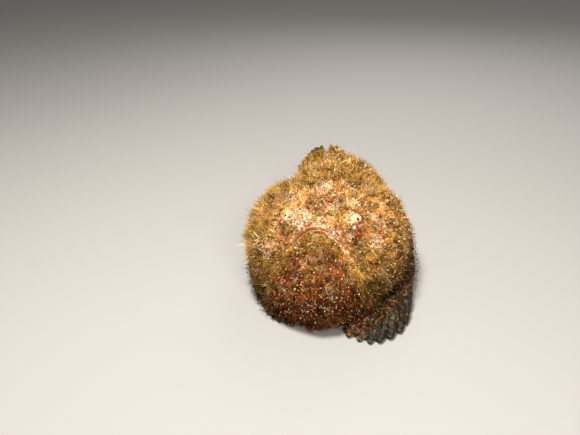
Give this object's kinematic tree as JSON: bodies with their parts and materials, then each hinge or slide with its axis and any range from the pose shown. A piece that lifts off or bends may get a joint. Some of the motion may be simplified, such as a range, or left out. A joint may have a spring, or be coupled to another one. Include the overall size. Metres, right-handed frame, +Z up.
{
  "type": "stonefish",
  "caption": "Life-size reef stonefish lying on its belly, shaggy with algae, with an upturned mouth, raised eyes, broad side fins, a crest of spines and a tail curled to one side.",
  "frame": {"origin": "middle of the bounding box's base, on the seabed that the fish lies on", "axes": "+Z up; the head faces -Y and the tail points to +Y; the fish's left side is on +X"},
  "size_m": [0.197, 0.2894, 0.1321],
  "materials": {
    "algae_skin": "rough warty skin under turf algae",
    "jaw_skin": "rough warty skin",
    "fin_skin": "thick rough fin skin",
    "eye": "wet glossy cornea"
  },
  "bodies": {
    "root": {"head": "algae_skin", "lower_jaw": "jaw_skin", "trunk": "algae_skin", "tail_stem": "algae_skin", "tail_fin": "fin_skin", "pectoral_fin_L": "fin_skin", "pectoral_fin_R": "fin_skin", "pelvic_fin_L": "fin_skin", "pelvic_fin_R": "fin_skin", "dorsal_fin_spiny": "fin_skin", "dorsal_fin_soft": "fin_skin", "anal_fin": "fin_skin", "eye_L": "eye", "eye_R": "eye"}
  },
  "joints": []
}
